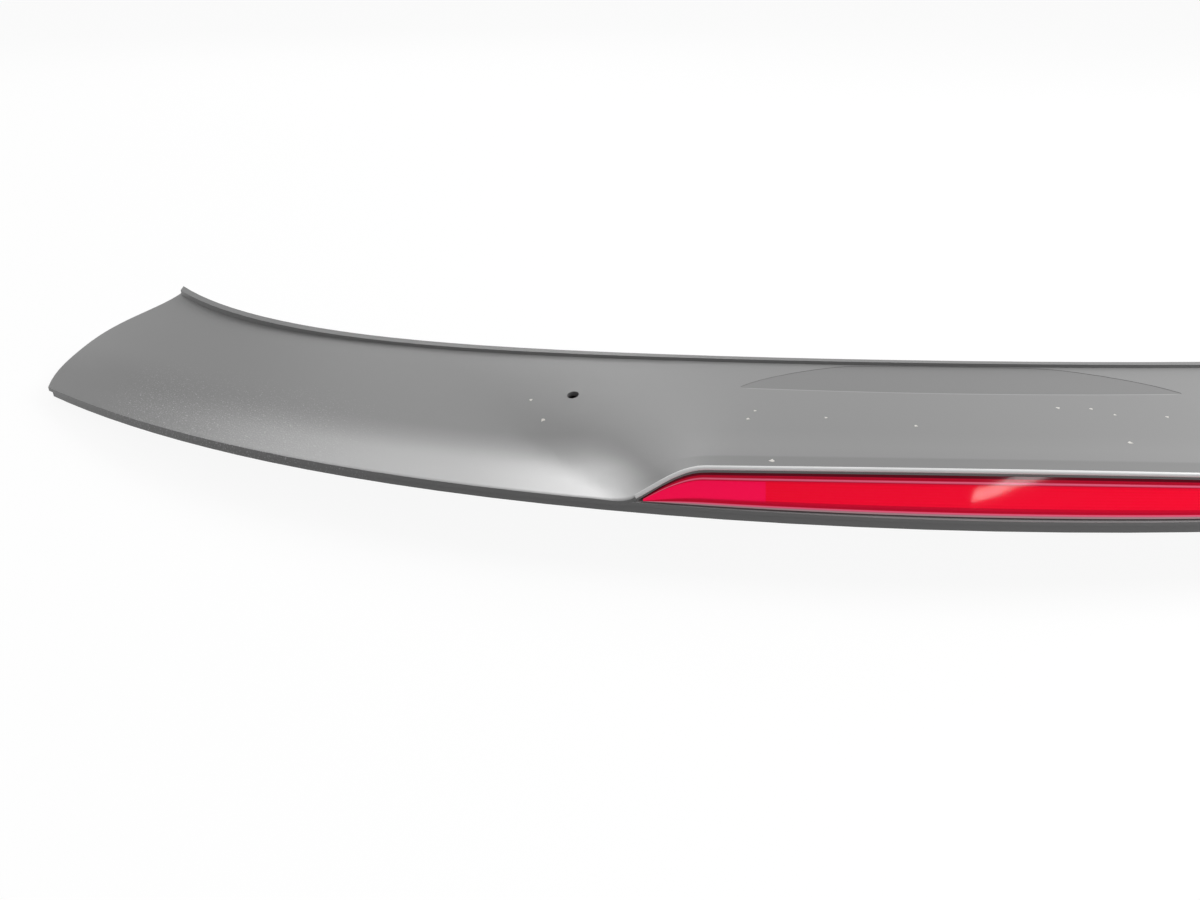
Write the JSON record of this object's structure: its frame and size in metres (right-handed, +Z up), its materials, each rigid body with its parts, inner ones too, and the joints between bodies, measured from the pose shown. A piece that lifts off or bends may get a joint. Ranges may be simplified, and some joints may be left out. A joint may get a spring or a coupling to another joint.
{
  "type": "car rear spoiler",
  "caption": "Curved roof-edge rear spoiler in satin grey with a raised lamp surround, a slanted red high brake lamp in its trailing edge and stud fixings below.",
  "frame": {"origin": "centre of the fixing studs, on the plane where their seals sit on the tailgate", "axes": "+X along the car's width to the right as seen from behind, +Y forward to the roof, +Z up"},
  "size_m": [1.225, 0.3297, 0.0656],
  "materials": {
    "grey_paint": "satin mid-grey paint on a plastic moulding",
    "strip_paint": "satin mid-grey paint",
    "grey_plastic": "grey moulded",
    "red_lens": "clear red moulded",
    "red_guide": "ridged, red through the lens",
    "lamp_black": "black moulded",
    "board_white": "white solder mask",
    "led_white": "clear cap",
    "header_black": "black moulded",
    "rubber_black": "soft moulded",
    "foam_black": "closed foam",
    "zinc_steel": "zinc plated",
    "clip_white": "natural nylon"
  },
  "bodies": {
    "root": {"outer_skin": "grey_paint", "roof_edge_strip": "strip_paint", "lower_shell": "grey_plastic", "lamp_lens": "red_lens", "light_guide": "red_guide", "lamp_housing": "lamp_black", "led_board": "board_white", "leds": "led_white", "lamp_connector": "header_black", "lead_grommet": "rubber_black", "lamp_gasket": "foam_black", "lamp_screws": "zinc_steel", "fixing_studs": "zinc_steel", "stud_seals": "foam_black", "retaining_clips": "clip_white", "end_pads": "foam_black"}
  },
  "joints": []
}
